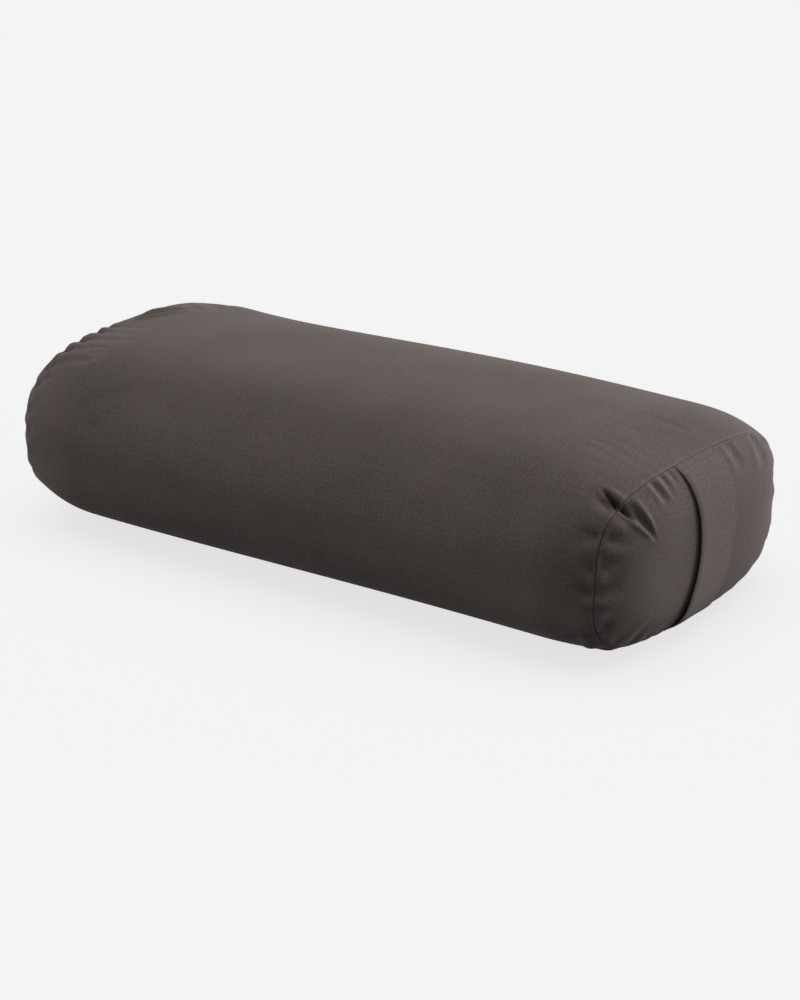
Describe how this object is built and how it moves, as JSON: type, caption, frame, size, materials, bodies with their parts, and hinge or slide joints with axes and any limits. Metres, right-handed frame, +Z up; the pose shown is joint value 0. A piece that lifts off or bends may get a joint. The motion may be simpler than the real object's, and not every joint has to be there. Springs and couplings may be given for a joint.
{
  "type": "yoga bolster",
  "caption": "Rectangular stuffed bolster in a canvas cover, with a carry strap across one domed end and a zip in its long side, for supporting the body on the floor.",
  "frame": {"origin": "on the floor, under the middle of the body (halfway between the two end seams)", "axes": "+X along the bolster towards the end with the carry strap, +Y towards the side with the zip, +Z up"},
  "size_m": [0.6211, 0.3056, 0.15],
  "materials": {
    "canvas": "woven cotton canvas",
    "strap_canvas": "woven cotton canvas",
    "liner_cotton": "plain unbleached cotton",
    "husk": "loose husk",
    "zip_tape": "woven tape",
    "zip_nylon": "satin",
    "zip_metal": "dark satin",
    "thread": "matt thread"
  },
  "bodies": {
    "bolster": {"cover_wrap": "canvas", "front_end_panel": "canvas", "rear_end_panel": "canvas", "front_seam_thread": "thread", "rear_seam_thread": "thread", "zip_tape_upper": "zip_tape", "zip_tape_lower": "zip_tape", "zip_coil_upper": "zip_nylon", "zip_coil_lower": "zip_nylon", "zip_stitching_upper": "thread", "zip_stitching_lower": "thread", "zip_top_stop_upper": "zip_metal", "zip_top_stop_lower": "zip_metal", "zip_bottom_stop": "zip_metal", "liner_wrap": "liner_cotton", "liner_front_end": "liner_cotton", "liner_rear_end": "liner_cotton", "liner_front_seam_thread": "thread", "liner_rear_seam_thread": "thread", "liner_closing_thread": "thread", "husk_filling": "husk"},
    "strap": {"carry_strap": "strap_canvas", "strap_stitching_zip_side": "thread", "strap_stitching_plain_side": "thread"},
    "slider": {"zip_slider": "zip_metal"},
    "pull": {"zip_pull": "zip_metal"}
  },
  "joints": [
    {"name": "zip_slide", "type": "slide", "parent": "bolster", "child": "slider", "axis": [-1, 0, 0], "range_m": [0, 0.392], "deforming": ["zip_coil_upper", "zip_coil_lower"]},
    {"name": "pull_turn", "type": "hinge", "parent": "slider", "child": "pull", "pos_m": [0.1989, 0.15358, 0.075], "axis": [0, 0, -1], "range_deg": [0, 180]},
    {"name": "strap_bow", "type": "slide", "parent": "bolster", "child": "strap", "axis": [1, 0, 0], "range_m": [0, 0.018]}
  ]
}
